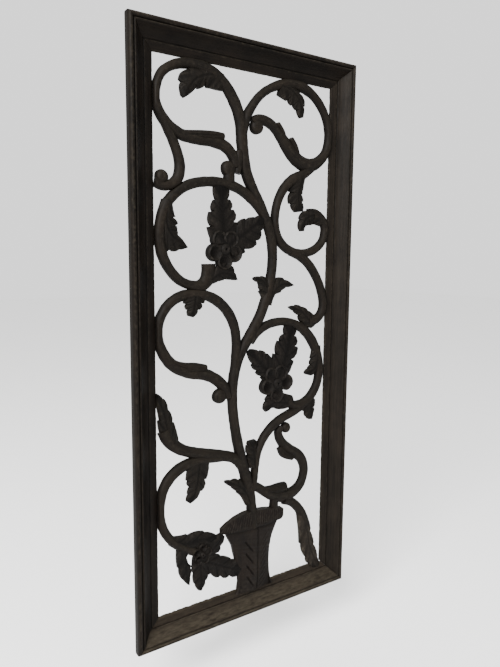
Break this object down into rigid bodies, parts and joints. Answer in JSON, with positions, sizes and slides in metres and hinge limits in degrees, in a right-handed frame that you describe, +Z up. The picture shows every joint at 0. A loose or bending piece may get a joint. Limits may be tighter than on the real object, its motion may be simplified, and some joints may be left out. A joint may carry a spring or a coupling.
{
  "type": "carved wall panel",
  "caption": "Tall framed openwork wall panel in dark stained wood, carved with scrolling vines, leaves and two large flowers growing out of a fluted basket.",
  "frame": {"origin": "middle of the flat back of the top rail, where the panel bears on the wall", "axes": "X to the viewer's right, Z up, Y into the wall; the carved front faces -Y"},
  "size_m": [0.406, 0.0225, 0.916],
  "materials": {
    "carved_wood": "dark stain with a thin worn satin lacquer over carved wood",
    "frame_wood": "dark stain with a satin lacquer, worn on the arrises"
  },
  "bodies": {
    "root": {"vine_carving": "carved_wood", "top_rail": "frame_wood", "bottom_rail": "frame_wood", "left_stile": "frame_wood", "right_stile": "frame_wood"}
  },
  "joints": []
}
